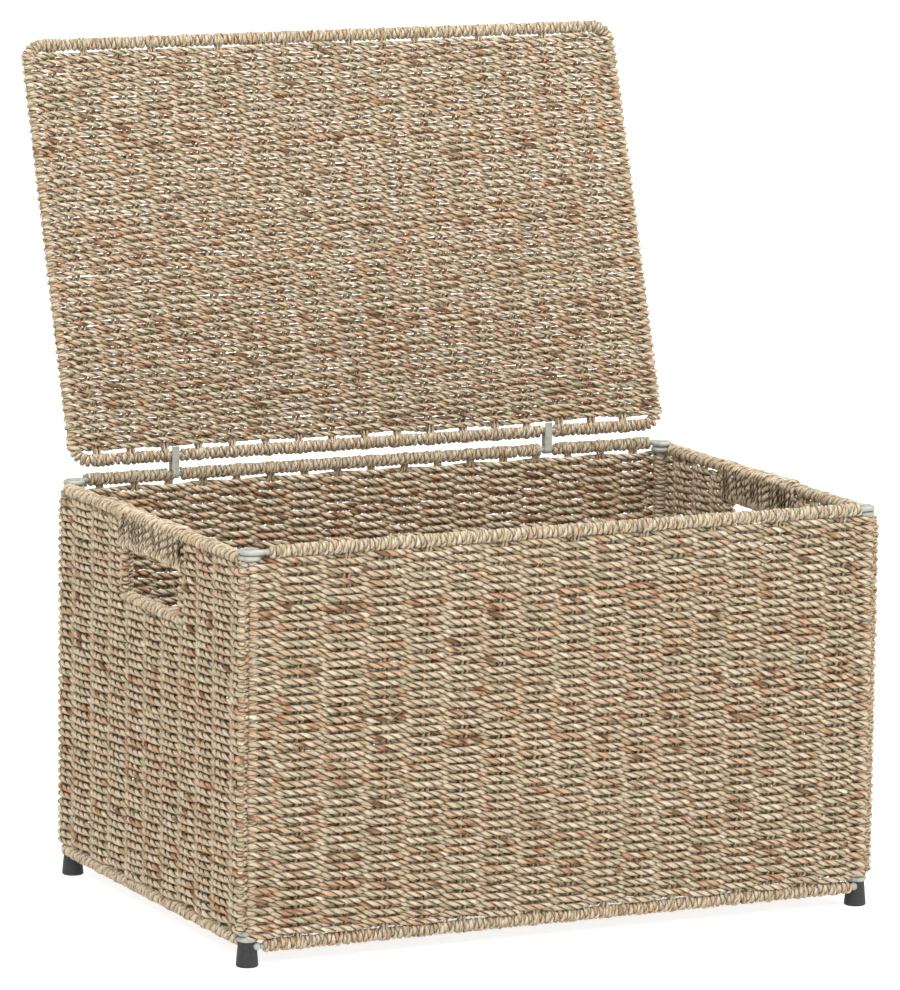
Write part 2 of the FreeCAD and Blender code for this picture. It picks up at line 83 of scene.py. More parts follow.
class Panel:
    """The plane of a woven wall. Its axes are along the rows, up the stakes and out of the wall."""

    def __init__(self, origin, along, up):
        self.origin = np.array(origin, float)
        self.along = np.array(along, float)
        self.up = np.array(up, float)
        self.out = np.cross(self.along, self.up)

    def point(self, along, up, out):
        """Places on the panel, in the row frame."""
        return (self.origin + np.multiply.outer(along, self.along)
                + np.multiply.outer(up, self.up) + np.multiply.outer(out, self.out))

    def flat(self, node):
        """A CAD node's vertices as (along, up, out)."""
        return (node_points(node) - self.origin) @ np.array([self.along, self.up, self.out]).T

    def span(self, node, axis):
        """The least and greatest place of a CAD node along one of the panel's axes."""
        places = self.flat(node)[:, axis]
        return places.min(), places.max()

    def middle(self, node, axis):
        """The middle of a CAD node along one of the panel's axes."""
        low, high = self.span(node, axis)
        return (low + high) / 2

    def groups(self, node, gap):
        """A CAD node's places along the rows, sorted and split wherever they are further apart than gap."""
        places = np.sort(self.flat(node)[:, ALONG])
        return np.split(places, np.flatnonzero(np.diff(places) > gap) + 1)

    def posts(self, node):
        """The middle of each group of upright cords or wires in a CAD node, from one end to the other."""
        return [(group[0] + group[-1]) / 2 for group in self.groups(node, POST_GAP)]

    def sleeves(self, node):
        """The (start, end) of every straight sleeve of a CAD wrap node."""
        rings = self.groups(node, SLEEVE_GAP)
        return [(rings[index][0], rings[index + 1][-1]) for index in range(0, len(rings) - 1, 2)]


def middle(node, axis):
    """The middle of a CAD node's box along a row-frame axis."""
    low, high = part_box(node)
    return (low[axis] + high[axis]) / 2


hinge = Vector(next(joint["pos_m"] for joint in frame["joints"] if joint["name"] == "lid_hinge"))
side_y = middle("left_weave", 1)
FRONT = Panel((0, middle("front_stakes", 1), 0), (1, 0, 0), (0, 0, 1))
BACK = Panel((0, middle("back_stakes", 1), 0), (-1, 0, 0), (0, 0, 1))
LEFT = Panel((middle("left_stakes", 0), side_y, 0), (0, -1, 0), (0, 0, 1))
RIGHT = Panel((middle("right_stakes", 0), side_y, 0), (0, 1, 0), (0, 0, 1))
BASE = Panel((0, side_y, middle("base_stakes", 2)), (1, 0, 0), (0, 1, 0))
LID_PANEL = Panel((middle("lid_frame", 0), hinge.y, hinge.z), (1, 0, 0),
                  (0, -math.cos(LID_OPEN), math.sin(LID_OPEN)))
WALLS = (("front", FRONT), ("back", BACK), ("left", LEFT), ("right", RIGHT))
LONG_SIDES = ("front", "back")
SHORT_SIDES = ("left", "right")


# ---------------------------------------------------------------- chance

def smooth_field(rows, columns, row_reach, column_reach):
    """Seeded soft noise, about -1 to 1, whose bumps are the given numbers of rows and columns wide."""
    coarse = rng.normal(0, 0.55, (int(rows / row_reach) + 3, int(columns / column_reach) + 3))

    def weights(count, reach):
        place = np.arange(count) / reach
        cell = place.astype(int)
        share = place - cell
        return cell, share * share * (3 - 2 * share)

    row_cell, row_share = weights(rows, row_reach)
    column_cell, column_share = weights(columns, column_reach)
    rows_low = coarse[row_cell] * (1 - row_share)[:, None] + coarse[row_cell + 1] * row_share[:, None]
    return rows_low[:, column_cell] * (1 - column_share) + rows_low[:, column_cell + 1] * column_share


# ---------------------------------------------------------------- materials

def linear(red, green, blue):
    """An sRGB colour, 0 to 255, as the linear colour that a shader takes."""
    return tuple(((c / 255 + 0.055) / 1.055) ** 2.4 if c > 10 else c / 255 / 12.92
                 for c in (red, green, blue)) + (1.0,)


class Nodes:
    """A material's node tree with short calls to add and join nodes."""

    def __init__(self, name):
        self.material = bpy.data.materials.new(name)
        self.material.use_nodes = True
        self.tree = self.material.node_tree
        self.shader = next(n for n in self.tree.nodes if n.type == "BSDF_PRINCIPLED")

    def add(self, kind, **values):
        """A node, with its settings and its unlinked sockets set by name."""
        node = self.tree.nodes.new(kind)
        for key, value in values.items():
            if key in node.inputs:
                node.inputs[key].default_value = value
            else:
                setattr(node, key, value)
        return node

    def join(self, source, target):
        """Link an output socket to an input socket."""
        self.tree.links.new(source, target)

    def ramp(self, source, *stops):
        """A colour ramp of (place, colour) stops, driven by a socket."""
        node = self.add("ShaderNodeValToRGB")
        elements = node.color_ramp.elements
        while len(elements) < len(stops):
            elements.new(0.5)
        for element, (place, colour) in zip(elements, stops):
            element.position = place
            element.color = colour
        self.join(source, node.inputs["Fac"])
        return node.outputs["Color"]

    def noise(self, vector, scale, detail=3.0, rough=0.6):
        """Fractal noise over a vector socket."""
        node = self.add("ShaderNodeTexNoise", Scale=scale, Detail=detail, Roughness=rough)
        self.join(vector, node.inputs["Vector"])
        return node.outputs["Fac"]

    def stretched(self, vector, scale):
        """A vector socket scaled by three factors."""
        node = self.add("ShaderNodeMapping")
        node.inputs["Scale"].default_value = scale
        self.join(vector, node.inputs["Vector"])
        return node.outputs["Vector"]

    def darkened(self, factor, first, second):
        """One colour socket multiplied by another, as far as factor says."""
        node = self.add("ShaderNodeMix", data_type="RGBA", blend_type="MULTIPLY")
        node.inputs[0].default_value = factor
        self.join(first, node.inputs[6])
        self.join(second, node.inputs[7])
        return node.outputs[2]

    def bump(self, height, strength, distance):
        """Surface relief from a height socket, joined to the shader."""
        node = self.add("ShaderNodeBump", Strength=strength, Distance=distance)
        self.join(height, node.inputs["Height"])
        self.join(node.outputs["Normal"], self.shader.inputs["Normal"])

    def ranged(self, source, low, high):
        """A 0 to 1 socket mapped to a range."""
        node = self.add("ShaderNodeMapRange")
        node.inputs["To Min"].default_value = low
        node.inputs["To Max"].default_value = high
        self.join(source, node.inputs["Value"])
        return node.outputs["Result"]


WHITE = (1, 1, 1, 1)
SEAGRASS_TINTS = (
    (0.00, (130, 98, 72)),
    (0.12, (182, 142, 110)),
    (0.26, (204, 172, 140)),
    (0.42, (205, 189, 164)),
    (0.58, (214, 201, 180)),
    (0.70, (202, 190, 160)),
    (0.82, (176, 170, 144)),
    (0.92, (216, 199, 170)),
    (1.00, (222, 213, 195)),
)


def seagrass(name, lift):
    """Twisted seagrass: plies of different age, streaked along their fibres, with painted shade in the
    crevices between plies. lift lightens it.
    """
    nodes = Nodes(name)
    tint = nodes.add("ShaderNodeAttribute", attribute_name="tint")
    strand = nodes.add("ShaderNodeAttribute", attribute_name="strand")
    shade = nodes.add("ShaderNodeAttribute", attribute_name="shade")
    stops = [(place, linear(*(min(255, channel * lift) for channel in colour)))
             for place, colour in SEAGRASS_TINTS]
    base = nodes.ramp(tint.outputs["Fac"], *stops)
    fibre = nodes.noise(nodes.stretched(strand.outputs["Vector"], (45, 1400, 1)), 1.0, 4.0, 0.65)
    streak = nodes.ramp(fibre, (0.34, (0.30, 0.25, 0.20, 1)), (0.47, (0.80, 0.77, 0.73, 1)), (0.64, WHITE))
    patch = nodes.noise(nodes.stretched(strand.outputs["Vector"], (70, 160, 1)), 1.0, 2.0)
    wear = nodes.ramp(patch, (0.35, (0.78, 0.71, 0.63, 1)), (0.60, WHITE))
    # painted shade: the shade mark darkens each ply to brown where the plies meet, standing in for the shade
    # in their crevice
    painted_crevice_shade = nodes.ramp(shade.outputs["Fac"], (0.28, (0.32, 0.22, 0.13, 1)), (0.92, WHITE))
    colour = nodes.darkened(0.88, base, streak)
    colour = nodes.darkened(0.60, colour, wear)
    colour = nodes.darkened(1.0, colour, painted_crevice_shade)
    nodes.join(colour, nodes.shader.inputs["Base Color"])
    nodes.join(nodes.ranged(fibre, 0.82, 0.60), nodes.shader.inputs["Roughness"])
    nodes.shader.inputs["Specular IOR Level"].default_value = 0.30
    nodes.bump(fibre, 0.80, 0.0009)
    return nodes.material


def painted_wire(name, pale, worn):
    """Dull paint on wire, a little patchy and scuffed."""
    nodes = Nodes(name)
    place = nodes.add("ShaderNodeTexCoord").outputs["Object"]
    patch = nodes.noise(place, 90, 5.0, 0.7)
    bright = tuple(min(1, channel * 1.12) for channel in pale)
    colour = nodes.ramp(patch, (0.30, worn), (0.52, pale), (0.75, bright))
    nodes.join(colour, nodes.shader.inputs["Base Color"])
    nodes.join(nodes.ranged(nodes.noise(place, 260), 0.42, 0.62), nodes.shader.inputs["Roughness"])
    nodes.shader.inputs["Metallic"].default_value = 0.15
    nodes.bump(nodes.noise(place, 420), 0.25, 0.0004)
    return nodes.material


def moulded(name):
    """Charcoal moulded plastic with a fine grain."""
    nodes = Nodes(name)
    place = nodes.add("ShaderNodeTexCoord").outputs["Object"]
    grain = nodes.noise(place, 900, 3.0)
    dust = nodes.noise(place, 700, 4.0, 0.75)
    colour = nodes.ramp(dust, (0.30, linear(15, 15, 17)), (0.60, linear(30, 30, 33)),
                        (0.76, linear(92, 90, 86)))
    nodes.join(colour, nodes.shader.inputs["Base Color"])
    nodes.join(nodes.ranged(grain, 0.50, 0.68), nodes.shader.inputs["Roughness"])
    nodes.bump(grain, 0.35, 0.0003)
    return nodes.material


SEAGRASS = seagrass("seagrass", 1.045)
# painted light: the back wall's cord is lightened above the other walls, making up for the shade it lies in
# inside the trunk
SEAGRASS_BACK_PAINTED_LIGHT = seagrass("seagrass_back_painted_light", 1.11)
SEAGRASS_PALE = seagrass("seagrass_pale", 1.03)
WIRE = painted_wire("frame_wire", linear(158, 161, 150), linear(124, 126, 116))
STRAP = painted_wire("strap_strip", linear(168, 168, 156), linear(130, 128, 115))
FOOT = moulded("foot_plastic")


# ---------------------------------------------------------------- meshes

def mesh_piece(name, points, quads, material, body, marks):
    """A smooth quad mesh that rides on a body. marks are (name, kind, values) for its vertices."""
    mesh = bpy.data.meshes.new(name)
    mesh.vertices.add(len(points))
    mesh.vertices.foreach_set("co", np.ascontiguousarray(points, np.float32).ravel())
    mesh.loops.add(quads.size)
    mesh.loops.foreach_set("vertex_index", np.ascontiguousarray(quads, np.int32).ravel())
    mesh.polygons.add(len(quads))
    mesh.polygons.foreach_set("loop_start", np.arange(0, quads.size, 4, dtype=np.int32))
    mesh.update(calc_edges=True)
    mesh.shade_smooth()
    for mark, kind, values in marks:
        field = "vector" if kind == "FLOAT_VECTOR" else "value"
        mesh.attributes.new(mark, kind, "POINT").data.foreach_set(
            field, np.ascontiguousarray(values, np.float32).ravel())
    mesh.materials.append(material)
    piece = bpy.data.objects.new(name, mesh)
    bpy.context.scene.collection.objects.link(piece)
    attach(piece, body)
    return piece


class Cord:
    """The make-up of a twisted cord, in metres.

    Each ply's middle is offset from the cord's, the ply is deep along that offset and wide across it, and
    the plies turn once round each other in a pitch. step and sides say how finely the cord is modelled.
    """

    def __init__(self, offset, deep, wide, pitch, step, sides=6):
        self.offset = offset
        self.deep = deep
        self.wide = wide
        self.pitch = pitch
        self.step = step
        self.sides = sides


WEFT = Cord(1.42 * MM, 1.48 * MM, 2.15 * MM, 19 * MM, 2.5 * MM)
LID_WEFT = Cord(1.28 * MM, 1.33 * MM, 1.95 * MM, 20 * MM, 2.6 * MM)
BASE_WEFT = Cord(1.35 * MM, 1.40 * MM, 2.05 * MM, 19 * MM, 3.1 * MM, 5)
STAKE_CORD = Cord(0.85 * MM, 1.15 * MM, 1.60 * MM, 14 * MM, 2.2 * MM, 5)
RIM_CORD = Cord(1.10 * MM, 1.30 * MM, 1.95 * MM, 14 * MM, 1.9 * MM, 6)
GRIP_CORD = Cord(1.15 * MM, 1.35 * MM, 2.05 * MM, 15 * MM, 2.2 * MM, 6)
CORNER_CORD = Cord(1.05 * MM, 1.25 * MM, 1.85 * MM, 17 * MM, 2.6 * MM, 5)
TIE_CORD = Cord(0.45 * MM, 0.85 * MM, 1.20 * MM, 14 * MM, 1.6 * MM, 5)
EDGE_CORD = Cord(0.70 * MM, 0.90 * MM, 1.35 * MM, 15 * MM, 2.4 * MM, 5)
FIBRE_CORD = Cord(0.10 * MM, 0.22 * MM, 0.34 * MM, 30 * MM, 2.4 * MM, 4)
PLIES = 2


def travelled(points):
    """How far along a line, or each of many lines, every point is."""
    steps = np.linalg.norm(np.diff(points, axis=-2), axis=-1)
    start = np.zeros(steps.shape[:-1] + (1,))
    return np.concatenate([start, np.cumsum(steps, axis=-1)], axis=-1)


def evenly(points, step=1.0 * MM):
    """A line through the given points, resampled with the same spacing all along."""
    points = np.array(points, float)
    length = travelled(points)
    places = np.linspace(0, length[-1], int(length[-1] / step))
    return np.stack([np.interp(places, length, column) for column in points.T], axis=-1)


def tube_quads(tubes, samples, sides):
    """The faces of many open tubes whose rings of vertices follow each other."""
    corner = np.arange(sides)
    beside = (corner + 1) % sides
    ring = (np.arange(samples - 1) * sides)[:, None]
    pattern = np.stack([ring + corner, ring + sides + corner, ring + sides + beside, ring + beside], axis=-1)
    return pattern.reshape(1, -1, 4) + (np.arange(tubes) * samples * sides)[:, None, None]


def plies(path, square, cord, tints):
    """Two plies twisted round each path.

    path is (cords, samples, 3). square is a direction about square to it, of the same shape or less.
    tints is (cords, plies, samples), 0 to 1. Returns points, quads and the vertex marks.
    """
    count, samples, _ = path.shape
    length = travelled(path)
    tangent = unit(np.gradient(path, axis=1))
    first = np.broadcast_to(square, path.shape)
    first = unit(first - (first * tangent).sum(-1, keepdims=True) * tangent)
    second = np.cross(tangent, first)
    start = rng.uniform(0, 2 * math.pi, (count, 1))
    spacing = float(np.median(np.linalg.norm(np.diff(path, axis=1), axis=2)))
    start = start + 0.55 * smooth_field(count, samples, 1, max(2.0, 22 * MM / spacing))
    taper = np.ones((1, samples, 1))
    taper[:, [0, -1]] = 0.08
    angle = np.arange(cord.sides) * 2 * math.pi / cord.sides
    all_points, strands = [], []
    for ply in range(PLIES):
        turn = (2 * math.pi * length / cord.pitch + start + 2 * math.pi * ply / PLIES)[..., None]
        radial = np.cos(turn) * first + np.sin(turn) * second
        thick = taper * (1 + 0.17 * smooth_field(count, samples, 1, max(1.5, 9 * MM / spacing)))[..., None]
        centre = path + cord.offset * taper * radial
        heading = unit(np.gradient(centre, axis=1))
        radial = unit(radial - (radial * heading).sum(-1, keepdims=True) * heading)
        sideways = np.cross(heading, radial)
        ring = (cord.deep * thick * radial)[:, :, None] * np.cos(angle)[:, None]
        ring = ring + (cord.wide * thick * sideways)[:, :, None] * np.sin(angle)[:, None]
        all_points.append(centre[:, :, None] + ring)
        shift = rng.uniform(0, 40, (count, 1, 1))
        round_ply = np.broadcast_to(angle / (2 * math.pi) * 0.010, (count, samples, cord.sides))
        along_ply = np.broadcast_to(length[..., None], (count, samples, cord.sides))
        strands.append(np.stack([along_ply, round_ply, np.broadcast_to(shift, along_ply.shape)], axis=-1))
    points = np.stack(all_points, axis=1)
    # painted shade: the inner side of each ply, facing the cord's middle and the other ply, gets a low shade
    # value that darkens its colour
    shade = np.interp(np.cos(angle), (-1.0, -0.4, 0.4, 1.0), (0.30, 0.42, 0.90, 1.0))
    marks = (
        ("shade", "FLOAT", np.broadcast_to(shade, points.shape[:-1])),
        ("tint", "FLOAT", np.broadcast_to(np.clip(tints, 0, 1)[..., None], points.shape[:-1])),
        ("strand", "FLOAT_VECTOR", np.stack(strands, axis=1)),
    )
    quads = tube_quads(count * PLIES, samples, cord.sides)
    return points.reshape(-1, 3), quads.reshape(-1, 4), marks


def ply_tints(count, samples, step):
    """The colour of each ply: a shade of its own that changes along it, with rare dark lengths."""
    base = rng.normal(0.50, 0.11, (count * PLIES, 1))
    drift = smooth_field(count * PLIES, samples, 1, max(2.0, 45 * MM / step)) * 0.12
    stroke = smooth_field(count * PLIES, samples, 1, max(1.0, 8 * MM / step)) * 0.30
    rare = smooth_field(count * PLIES, samples, 1, max(2.0, 18 * MM / step))
    dark = np.clip(rare - 0.90, 0, 1) * 1.4
    return (base + drift + stroke - dark).reshape(count, PLIES, samples)


def lay(name, path, square, cord, material, body, nodes, bound=False):
    """Twisted cords along many paths, split into pieces that stand for CAD nodes.

    Cords bound round a bar are more even in colour.
    """
    count, samples, _ = path.shape
    faces = count * PLIES * (samples - 1) * cord.sides
    batches = max(1, math.ceil(faces / PIECE_FACES))
    tints = ply_tints(count, samples, cord.step)
    if bound:
        tints = tints * 0.7 + 0.2
    for batch, rows in enumerate(np.array_split(np.arange(count), batches)):
        across = square[rows] if np.ndim(square) == 3 else square
        points, quads, marks = plies(path[rows], across, cord, tints[rows])
        label = name if batches == 1 else f"{name}_{batch + 1}"
        piece = mesh_piece(label, points, quads, material, body, marks)
        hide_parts(*nodes)


# ---------------------------------------------------------------- weaving

SWAY = 3.5 * MM
WANDER = 1.0 * MM
TURN_SAMPLES = 5
STAKE_SPREAD = 2.5 * MM
BOTH_ENDS = (True, True)


def row_paths(panel, posts, heights, turns, step, parity):
    """Centre lines of woven rows.

    posts are the places of the wires and stakes the rows pass in front of and behind by turns. A row that
    turns at an end goes half way round the last post, where its neighbour meets it.
    """
    posts = np.array(posts)
    rows = np.arange(len(heights)) + parity
    flat = np.linspace(posts[0], posts[-1], max(3, int((posts[-1] - posts[0]) / step)))
    cell = np.clip(np.searchsorted(posts, flat, side="right") - 1, 0, len(posts) - 2)
    share = (flat - posts[cell]) / (posts[cell + 1] - posts[cell])
    wave = np.cos(math.pi * share) * np.where(cell % 2, -1, 1)
    wave = wave * (1.3 - 0.3 * wave * wave)
    last = -1 if (len(posts) - 1) % 2 else 1
    bend = np.linspace(0, math.pi / 2, TURN_SAMPLES)[1:]
    parts = [(flat, wave, 0 * flat, 0 * flat)]
    if turns[0]:
        back = bend[::-1]
        parts.insert(0, (posts[0] - SWAY * np.sin(back), np.cos(back), 1 - np.cos(back), 0 * back))
    if turns[1]:
        parts.append((posts[-1] + SWAY * np.sin(bend), last * np.cos(bend), 0 * bend, 1 - np.cos(bend)))
    along, out, left, right = (np.concatenate(column) for column in zip(*parts))
    side = np.where(rows % 2, -1, 1)
    samples = len(along)
    height = heights[:, None] + WANDER * smooth_field(len(rows), samples, 3.0, 45 * MM / step)
    height = height + 0.35 * WANDER * smooth_field(len(rows), samples, 1.0, 30 * MM / step)
    for end, climb in ((0, left), (-1, right)):
        tip = height[:, end].copy()
        partner = np.clip(np.arange(len(rows)) + (side if end else -side), 0, len(rows) - 1)
        height = height + (tip[partner] - tip)[:, None] / 2 * climb
    proud = SWAY * (1 + 0.10 * smooth_field(len(rows), samples, 1.0, 50 * MM / step))
    depth = side[:, None] * out[None, :] * proud
    return panel.point(np.broadcast_to(along, depth.shape), height, depth)


def heights_between(low, high, pitch):
    """Row heights that fill a band."""
    count = max(1, round((high - low) / pitch))
    return low + (np.arange(count) + 0.5) * (high - low) / count


def weave(name, panel, posts, low, high, pitch, turns, cord, material, body, nodes, parity=0):
    """A band of plain weave. Returns the parity of the row that would come next."""
    heights = heights_between(low, high, pitch)
    path = row_paths(panel, posts, heights, turns, cord.step, parity)
    lay(name, path, panel.up, cord, material, body, nodes)
    return parity + len(heights)


def stake_cords(name, panel, places, low, high, body, nodes):
    """Pairs of upright cords."""
    samples = int((high - low) / STAKE_CORD.step)
    up = np.linspace(low, high, samples)
    along = np.array([place + side * STAKE_SPREAD for place in places for side in (-1, 1)])
    sway = 0.45 * MM * smooth_field(len(along), samples, 1.0, 30 * MM / STAKE_CORD.step)
    out = 0.25 * MM * smooth_field(len(along), samples, 1.0, 30 * MM / STAKE_CORD.step)
    path = panel.point(along[:, None] + sway, np.broadcast_to(up, sway.shape), out)
    lay(name, path, panel.out, STAKE_CORD, SEAGRASS, body, nodes)


# ---------------------------------------------------------------- winding

class Turns:
    """How a cord is wound: how far apart its turns are and how far from the bar's middle the cord lies."""

    def __init__(self, cord, spacing, reach):
        self.cord = cord
        self.spacing = spacing
        self.reach = reach


RIM_TURNS = Turns(RIM_CORD, 4.9 * MM, 3.8 * MM)
GRIP_TURNS = Turns(GRIP_CORD, 5.3 * MM, 6.0 * MM)
CORNER_TURNS = Turns(CORNER_CORD, 3.9 * MM, 5.2 * MM)
EDGE_TURNS = Turns(EDGE_CORD, 3.5 * MM, 3.0 * MM)
STRAP_ROOM = 1.8 * MM


def wind(name, rail, square, turns, material, body, nodes, deeper=0.0):
    """A cord wound round a rail.

    rail is (n, 3) and square a direction square to all of it. deeper is how much further out the cord lies
    along square, for a bar that is deeper than it is thick.
    """
    length = travelled(rail)
    count = length[-1] / turns.spacing
    girth = 2 * math.pi * turns.reach + 4 * deeper
    samples = int(count * max(14, girth / turns.cord.step))
    share = np.linspace(0, 1, samples)
    jitter = 0.22 * smooth_field(1, samples, 1, samples / count * 1.1)[0]
    angle = 2 * math.pi * count * share
    slant = 0.16 * np.sin(angle) * (1 + smooth_field(1, samples, 1, samples / count * 3)[0])
    place = (share * length[-1] + (jitter + slant) * turns.spacing).clip(0, length[-1])
    spot = np.stack([np.interp(place, length, column) for column in rail.T], axis=-1)
    slope = np.gradient(rail, axis=0)
    heading = unit(np.stack([np.interp(place, length, column) for column in slope.T], axis=-1))
    square = np.array(square, float)
    beside = np.cross(heading, square)
    swell = 1 + 0.08 * smooth_field(1, samples, 1, samples / count * 0.9)[0]
    above = turns.reach * np.cos(angle) + deeper * np.clip(3 * np.cos(angle), -1, 1)
    aside = turns.reach * np.sin(angle)
    path = spot + (above * swell)[:, None] * square + (aside * swell)[:, None] * beside
    across = unit(np.gradient(path, axis=0))
    outward = unit(path - spot)
    outward = unit(outward - (outward * across).sum(-1, keepdims=True) * across)
    lay(name, path[None], outward[None], turns.cord, material, body, nodes, bound=True)


def wind_nodes(panel, node, over=0.0):
    """Wind cord over every straight sleeve of a CAD wrap node, and on past its outer ends by over."""
    ends = panel.sleeves(node)
    up = panel.middle(node, UP)
    for index, (start, end) in enumerate(ends):
        start = start - over if index == 0 else start + STRAP_ROOM
        end = end + over if index == len(ends) - 1 else end - STRAP_ROOM
        rail = evenly([panel.point(start, up, 0.0), panel.point(end, up, 0.0)])
        label = f"{node}_cord" if len(ends) == 1 else f"{node}_cord_{index + 1}"
        wind(label, rail, panel.up, RIM_TURNS, SEAGRASS_PALE, TRUNK, [node])


TIE_REACH = 5.3 * MM
TIE_SPREAD = 1.6 * MM
TIE_LEG = 13 * MM
TIE_OUT = 2.2 * MM
TIE_LEAN = 1.8 * MM
TIE_SAMPLES = 34


def rim_ties(name, panel, places, rim, toward, body, nodes):
    """Pairs of stake cords, each turned once round its rail. toward is 1 for a rail above the weave."""
    turn = np.radians(np.arange(-60, 241, 20))
    up = np.concatenate([[-TIE_LEG], TIE_REACH * np.sin(turn), [-TIE_LEG]])
    out = np.concatenate([[TIE_OUT], TIE_REACH * np.cos(turn), [-TIE_OUT]])
    share = np.linspace(0, len(up) - 1, TIE_SAMPLES)
    up = np.interp(share, np.arange(len(up)), up)
    out = np.interp(share, np.arange(len(out)), out)
    along = np.array([place + side * TIE_SPREAD for place in places for side in (-1, 1)])
    lean = rng.normal(0, TIE_LEAN, (len(along), 1)) * np.sin(np.linspace(0, math.pi, len(up)))
    path = panel.point(along[:, None] + lean, np.broadcast_to(rim + toward * up, lean.shape),
                       np.broadcast_to(out, lean.shape))
    lay(name, path, panel.along, TIE_CORD, SEAGRASS_PALE, body, nodes, bound=True)


# ---------------------------------------------------------------- the trunk

LONG_PITCH = 4.05 * MM
SHORT_PITCH = 3.55 * MM
BASE_PITCH = 4.1 * MM
ROWS_BELOW = 2.4 * MM
ROWS_ABOVE = 1.6 * MM
LONG_OVER = 1.5 * MM
SHORT_OVER = 7.5 * MM


def long_wall(side, panel, material):
    """The front or back wall."""
    edges = panel.posts(f"{side}_edge_wires")
    stakes = panel.posts(f"{side}_stakes")
    low, high = panel.span(f"{side}_weave", UP)
    weave(f"{side}_weave_rows", panel, [edges[0], *stakes, edges[-1]], low - ROWS_BELOW, high + ROWS_ABOVE,
          LONG_PITCH, BOTH_ENDS, WEFT, material, TRUNK, [f"{side}_weave"])
    foot, head = panel.span(f"{side}_stakes", UP)
    stake_cords(f"{side}_stake_cords", panel, stakes, foot, head, TRUNK, [f"{side}_stakes"])


def short_wall(side, panel):
    """The left or right wall, woven round its handle opening."""
    def band(part, posts, low, high, turns, parity=0):
        """One band of the wall's rows."""
        return weave(f"{side}_weave_{part}", panel, posts, low, high, SHORT_PITCH, turns,
                     WEFT, SEAGRASS, TRUNK, [f"{side}_weave"], parity)

    edges = panel.posts(f"{side}_edge_wires")
    stakes = panel.posts(f"{side}_stakes")
    posts = [edges[0], *stakes, edges[-1]]
    low, high = panel.span(f"{side}_weave", UP)
    floor = panel.span(f"{side}_sill", UP)[0]
    roof = panel.span(f"{side}_grip", UP)[0]
    parity = band("low", posts, low, floor, BOTH_ENDS)

    sill = panel.span(f"{side}_sill", ALONG)
    left, right = sill[0] - 1 * MM, sill[1] + 1 * MM
    near = [post for post in posts if post < left - 6 * MM] + [left]
    far = [right] + [post for post in posts if post > right + 6 * MM]
    band("beside_a", near, floor, roof, BOTH_ENDS, parity)
    band("beside_b", far, floor, roof, BOTH_ENDS, parity + len(posts) - len(far))

    grip = panel.span(f"{side}_grip", ALONG)
    near = [post for post in posts if post < grip[0] - 4 * MM] + [grip[0] + 8 * MM]
    far = [grip[1] - 8 * MM] + [post for post in posts if post > grip[1] + 4 * MM]
    band("high_a", near, roof, high, (True, False), parity)
    band("high_b", far, roof, high, (False, True), parity + len(posts) - len(far))

    foot, head = panel.span(f"{side}_stakes", UP)
    whole = [post for post in stakes if post < grip[0] or post > grip[1]]
    cut = [post for post in stakes if grip[0] <= post <= grip[1]]
    nodes = [f"{side}_stakes"]
    stake_cords(f"{side}_stake_cords", panel, whole, foot, head, TRUNK, nodes)
    stake_cords(f"{side}_stake_cords_short", panel, cut, foot, floor + 4 * MM, TRUNK, nodes)


def base_floor():
    """The woven floor."""
    stakes = BASE.posts("base_stakes")
    edges = BASE.posts("base_edge_wires")
    low, high = BASE.span("base_weave", UP)
    weave("base_weave_rows", BASE, [edges[0], *stakes, edges[-1]], low, high, BASE_PITCH, BOTH_ENDS,
          BASE_WEFT, SEAGRASS, TRUNK, ["base_weave"])


def rims(side, panel):
    """The cord wound on a wall's top and bottom rails."""
    top, bottom = (LONG_OVER, 0.0) if side in LONG_SIDES else (SHORT_OVER, SHORT_OVER)
    wind_nodes(panel, f"{side}_top_wrap", top)
    wind_nodes(panel, f"{side}_bottom_wrap", bottom)


def grips(side, panel):
    """The deep wound grip and the wound bar under a handle opening."""
    low, high = panel.span(f"{side}_grip", UP)
    start, end = panel.span(f"{side}_grip", ALONG)
    height = (low + high) / 2
    rail = evenly([panel.point(start + 2 * MM, height, 0.0), panel.point(end - 2 * MM, height, 0.0)])
    deeper = (high - low) / 2 - 1.8 * MM - GRIP_TURNS.reach
    wind(f"{side}_grip_cord", rail, panel.up, GRIP_TURNS, SEAGRASS_PALE, TRUNK, [f"{side}_grip"], deeper)
    wind_nodes(panel, f"{side}_sill")


def ties(side, panel):
    """The ties of a wall's stakes over its rails. Stakes under a grip have none at the top."""
    posts = panel.posts(f"{side}_stakes")
    clear = posts
    if side in SHORT_SIDES:
        low, high = panel.span(f"{side}_grip", ALONG)
        clear = [post for post in posts if post < low or post > high]
    for edge, places, toward in (("top", clear, 1), ("bottom", posts, -1)):
        rail = panel.middle(f"{side}_{edge}_rail", UP)
        rim_ties(f"{side}_{edge}_ties", panel, places, rail, toward, TRUNK, [f"{side}_{edge}_wrap"])


def edge_turns(side, panel):
    """Cord turned closely round the upright wire at either end of a wall."""
    low, high = panel.span(f"{side}_edge_wires", UP)
    for index, place in enumerate(panel.posts(f"{side}_edge_wires")):
        rail = evenly([panel.point(place, low, 0.0), panel.point(place, high, 0.0)])
        wind(f"{side}_edge_turns_{index + 1}", rail, panel.out, EDGE_TURNS, SEAGRASS, TRUNK,
             [f"{side}_weave"])


def corner_turns(across, deep):
    """Cord turned closely round a corner rod, where the rows of two walls meet."""
    rod = f"{deep}_{across}_rod"
    x, y = middle(rod, 0), middle(rod, 1)
    low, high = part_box(f"{across}_weave")
    rail = evenly([(x, y, low[2] + 4 * MM), (x, y, high[2])])
    wind(f"{across}_{deep}_corner_turns", rail, (1, 0, 0), CORNER_TURNS, SEAGRASS, TRUNK,
         [f"{across}_weave"])


# ---------------------------------------------------------------- the lid

